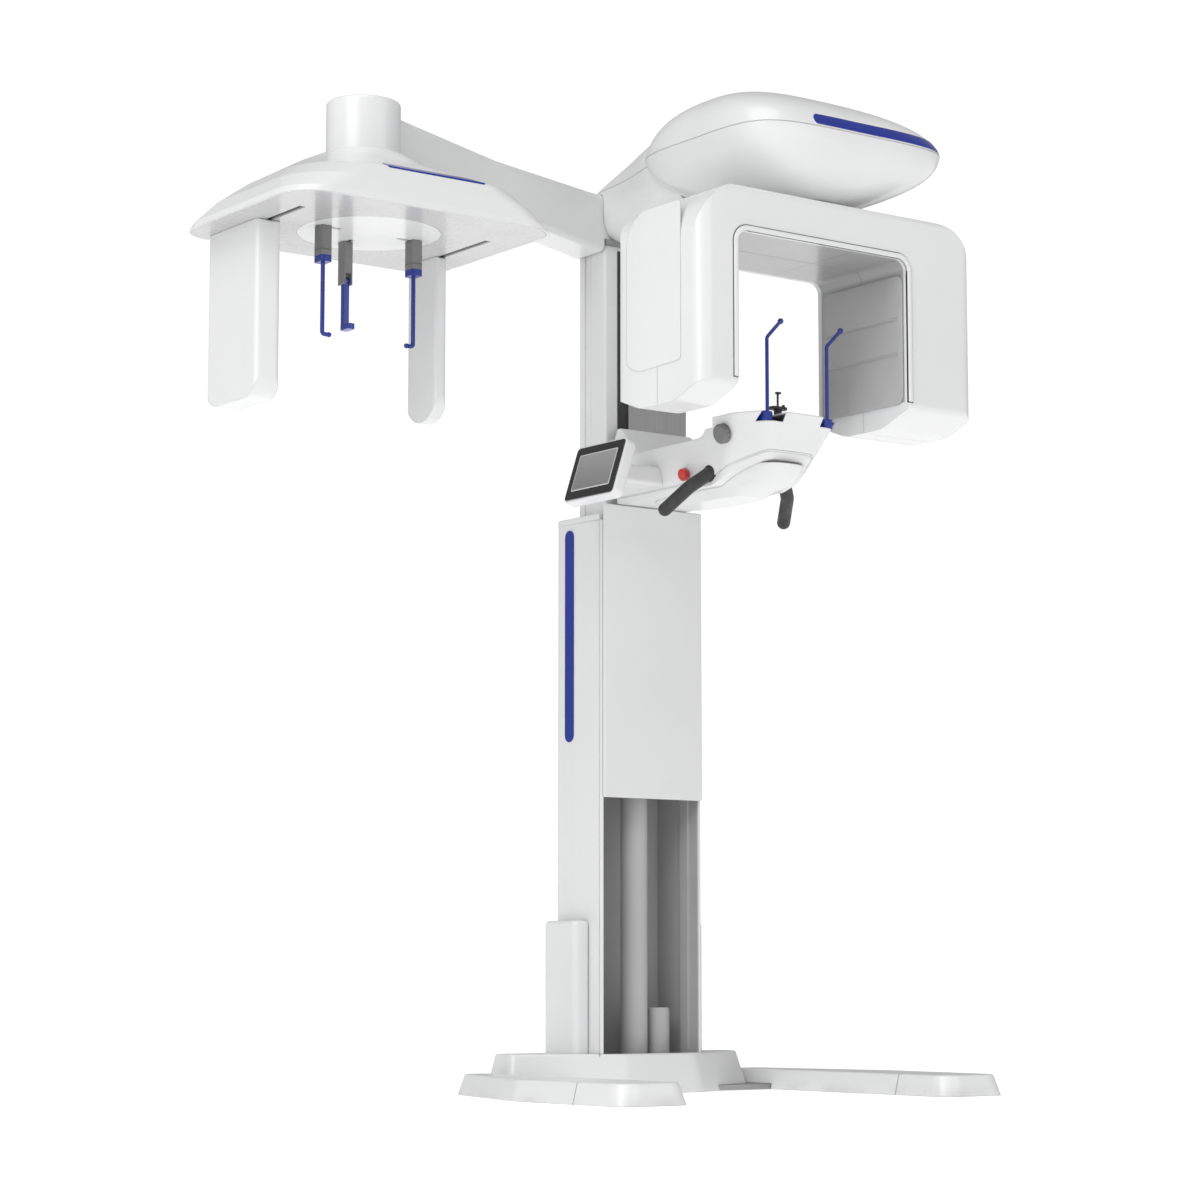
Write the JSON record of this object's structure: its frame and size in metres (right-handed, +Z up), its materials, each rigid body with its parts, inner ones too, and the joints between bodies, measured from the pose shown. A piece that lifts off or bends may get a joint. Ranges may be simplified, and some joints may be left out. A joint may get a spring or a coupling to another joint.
{
  "type": "panoramic xray machine",
  "caption": "Floor-standing dental panoramic x-ray machine: lifting column, rotating C-shaped gantry under a canopy, chin and temple support, touch display and a cephalometric side arm.",
  "frame": {"origin": "centre of the column on the floor, at the underside of the base", "axes": "+Z up; the patient stands on the -Y side and faces +Y; the cephalometric arm reaches to -X"},
  "size_m": [1.785, 0.8776, 2.192],
  "materials": {
    "white_shell": "smooth gloss white moulding",
    "white_paint": "satin white powder coat",
    "grey_paint": "satin grey powder coat",
    "aluminium": "anodised satin",
    "steel": "machined",
    "blue_light": "translucent blue light guide",
    "blue_plastic": "smooth blue moulding",
    "black_glass": "black touch panel",
    "black_grip": "fine grained black grip",
    "black_plastic": "satin black",
    "grey_plastic": "satin grey moulding",
    "red_button": "red mushroom button",
    "belt_rubber": "toothed belt"
  },
  "bodies": {
    "stand": {"base_cover": "white_paint", "base_plate": "steel", "leg_beams": "steel", "leg_covers": "white_paint", "column_back_cover": "white_paint", "column_back_plate": "grey_paint", "column_side_covers": "white_paint", "column_side_profiles": "grey_paint", "column_light_strips": "blue_light", "side_braces": "white_paint", "column_top_trim": "white_shell", "lift_motor": "black_plastic", "lift_actuator_tube": "aluminium"},
    "gantry_slide": {"slide_plate": "aluminium", "rotation_motor": "black_plastic", "turntable_cover": "grey_plastic", "rotation_belt": "belt_rubber"},
    "motor_pulley": {"motor_pulley": "aluminium"},
    "gantry": {"gantry_hub": "steel", "gantry_front_shell": "white_shell", "gantry_rear_shell": "white_shell", "gantry_beam": "aluminium", "xray_tube_head": "grey_paint", "panoramic_detector": "black_plastic", "tube_side_cover": "white_shell", "detector_window": "grey_plastic"},
    "temple_left": {"temple_support_left": "blue_plastic"},
    "temple_right": {"temple_support_right": "blue_plastic"},
    "width_knob": {"width_knob": "grey_plastic"},
    "emergency_stop": {"emergency_stop_button": "red_button"},
    "release_button": {"release_button": "white_shell"},
    "ceph_sensor": {"ceph_sensor": "white_shell"},
    "ceph_collimator": {"ceph_collimator": "white_shell"},
    "ceph_disc": {"ceph_disc": "white_shell"},
    "ear_left": {"ear_rod_left": "blue_plastic"},
    "ear_right": {"ear_rod_right": "blue_plastic"},
    "nasion_slider": {"nasion_holder": "grey_plastic"},
    "nasion": {"nasion_rod": "blue_plastic"},
    "carriage": {"boom_beam": "steel", "canopy_lower_shell": "white_shell", "canopy_upper_shell": "white_shell", "ceph_arm_beam": "steel", "ceph_arm_shell": "white_shell", "ceph_hood": "white_shell", "ceph_underplate": "white_shell", "chin_rest": "black_plastic", "disc_housing": "aluminium", "display_housing": "white_shell", "display_screen": "black_glass", "front_panel": "white_paint", "glide_pads": "black_plastic", "handles": "black_grip", "knuckle_cap": "white_shell", "lift_actuator_rod": "steel", "mast_front_profile": "aluminium", "mast_tube": "white_paint", "support_beam": "aluminium", "support_bowl": "white_shell", "support_shell": "white_shell", "support_tray": "white_shell"}
  },
  "joints": [
    {"name": "column_lift", "type": "slide", "parent": "stand", "child": "carriage", "axis": [0, 0, 1], "range_m": [-0.5, 0.1]},
    {"name": "gantry_slide", "type": "slide", "parent": "carriage", "child": "gantry_slide", "axis": [0, 1, 0], "range_m": [-0.025, 0.025]},
    {"name": "gantry_turn", "type": "hinge", "parent": "gantry_slide", "child": "gantry", "pos_m": [0, -0.64, 1.9], "axis": [0, 0, 1], "range_deg": [-135, 135]},
    {"name": "motor_turn", "type": "hinge", "parent": "gantry_slide", "child": "motor_pulley", "pos_m": [-0.095, -0.64, 1.95], "axis": [0, 0, 1], "range_deg": [-745, 745]},
    {"name": "temple_right_slide", "type": "slide", "parent": "carriage", "child": "temple_right", "axis": [-1, 0, 0], "range_m": [-0.007, 0.019]},
    {"name": "temple_left_slide", "type": "slide", "parent": "carriage", "child": "temple_left", "axis": [1, 0, 0], "range_m": [-0.007, 0.019]},
    {"name": "width_knob_turn", "type": "hinge", "parent": "carriage", "child": "width_knob", "pos_m": [-0.13008, -0.548, 1.436], "axis": [-0.962, 0, -0.273], "range_deg": [-81, 218]},
    {"name": "emergency_stop_press", "type": "slide", "parent": "carriage", "child": "emergency_stop", "axis": [0.962, 0, 0.273], "range_m": [0, 0.004], "stiffness_N_per_m": 2000},
    {"name": "release_press", "type": "slide", "parent": "carriage", "child": "release_button", "axis": [0, 0, -1], "range_m": [0, 0.002], "stiffness_N_per_m": 1500},
    {"name": "ceph_sensor_scan", "type": "slide", "parent": "carriage", "child": "ceph_sensor", "axis": [0, 1, 0], "range_m": [-0.2, 0.03]},
    {"name": "ceph_collimator_scan", "type": "slide", "parent": "carriage", "child": "ceph_collimator", "axis": [0, 1, 0], "range_m": [-0.2, 0.03]},
    {"name": "ceph_disc_turn", "type": "hinge", "parent": "carriage", "child": "ceph_disc", "pos_m": [-0.93, -0.363, 1.8], "axis": [0, 0, 1], "range_deg": [-90, 90]},
    {"name": "ear_right_slide", "type": "slide", "parent": "ceph_disc", "child": "ear_right", "axis": [-1, 0, 0], "range_m": [-0.012, 0.035]},
    {"name": "ear_left_slide", "type": "slide", "parent": "ceph_disc", "child": "ear_left", "axis": [1, 0, 0], "range_m": [-0.012, 0.035]},
    {"name": "nasion_slide", "type": "slide", "parent": "ceph_disc", "child": "nasion_slider", "axis": [0, 1, 0], "range_m": [-0.02, 0.02]},
    {"name": "nasion_fold", "type": "hinge", "parent": "nasion_slider", "child": "nasion", "pos_m": [-0.93, -0.27, 1.7167], "axis": [1, 0, 0], "range_deg": [0, 90]}
  ],
  "couplings": [
    {"joint": "motor_turn", "follows": "gantry_turn", "ratio": 5.5},
    {"joint": "temple_left_slide", "follows": "temple_right_slide", "ratio": 1},
    {"joint": "width_knob_turn", "follows": "temple_right_slide", "rad_per_m": 200},
    {"joint": "ceph_collimator_scan", "follows": "ceph_sensor_scan", "ratio": 1},
    {"joint": "ear_left_slide", "follows": "ear_right_slide", "ratio": 1}
  ]
}
